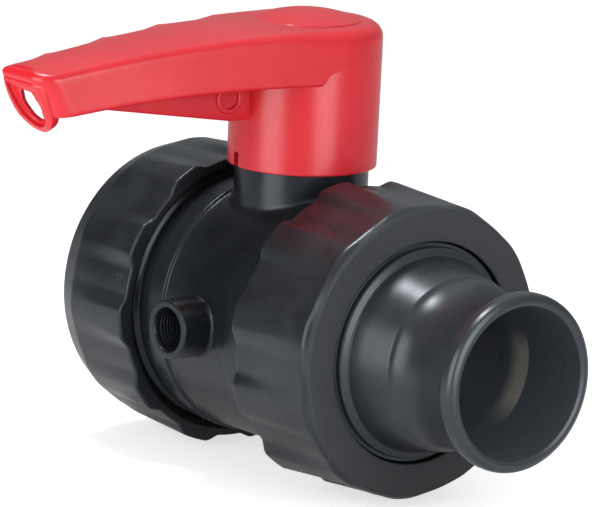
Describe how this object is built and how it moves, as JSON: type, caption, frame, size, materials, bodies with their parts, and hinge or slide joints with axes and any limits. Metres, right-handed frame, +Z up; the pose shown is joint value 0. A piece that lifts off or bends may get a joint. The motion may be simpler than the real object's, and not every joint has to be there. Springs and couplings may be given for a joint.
{
  "type": "seacock valve",
  "caption": "Black plastic quarter-turn ball valve with a red channel lever, lobed union nuts at both ends, a waisted pipe spigot, a threaded inlet socket and a small side port.",
  "frame": {"origin": "centre of the inlet mouth, on the flow axis", "axes": "+X along the flow towards the outlet spigot, +Z up along the stem, -Y the way the closed lever points"},
  "size_m": [0.2047, 0.179, 0.1655],
  "materials": {
    "black_plastic": "satin",
    "black_nut_plastic": "satin",
    "red_plastic": "satin",
    "grey_ball": "smooth",
    "white_seat": "smooth",
    "seal_rubber": "matte"
  },
  "bodies": {
    "inlet_end": {"inlet_connector": "black_plastic", "inlet_face_o_ring": "seal_rubber"},
    "inlet_nut": {"inlet_union_nut": "black_nut_plastic"},
    "body": {"valve_body": "black_plastic", "stem_thrust_washer": "white_seat", "inlet_ball_seat": "white_seat", "outlet_ball_seat": "white_seat", "inlet_seat_o_ring": "seal_rubber", "outlet_seat_o_ring": "seal_rubber", "seat_carrier": "black_plastic", "carrier_o_ring": "seal_rubber"},
    "operator": {"handle": "red_plastic", "stem": "black_plastic", "ball": "grey_ball", "stem_o_ring_lower": "seal_rubber", "stem_o_ring_upper": "seal_rubber"},
    "outlet_end": {"outlet_spigot": "black_plastic", "outlet_face_o_ring": "seal_rubber"},
    "outlet_nut": {"outlet_union_nut": "black_nut_plastic"}
  },
  "joints": [
    {"name": "inlet_nut_turn", "type": "hinge", "parent": "inlet_end", "child": "inlet_nut", "pos_m": [0.028, 0, 0], "axis": [-1, 0, 0], "range_deg": [0, 1440]},
    {"name": "inlet_union_slide", "type": "slide", "parent": "inlet_end", "child": "body", "axis": [1, 0, 0], "range_m": [0, 0.024]},
    {"name": "handle_turn", "type": "hinge", "parent": "body", "child": "operator", "pos_m": [0.08, 0, 0], "axis": [0, 0, 1], "range_deg": [0, 90]},
    {"name": "outlet_union_slide", "type": "slide", "parent": "body", "child": "outlet_end", "axis": [1, 0, 0], "range_m": [0, 0.024]},
    {"name": "outlet_nut_turn", "type": "hinge", "parent": "outlet_end", "child": "outlet_nut", "pos_m": [0.132, 0, 0], "axis": [1, 0, 0], "range_deg": [0, 1440]}
  ],
  "couplings": [
    {"joint": "inlet_union_slide", "follows": "inlet_nut_turn", "m_per_rad": 0.00095492},
    {"joint": "outlet_union_slide", "follows": "outlet_nut_turn", "m_per_rad": 0.00095492}
  ]
}
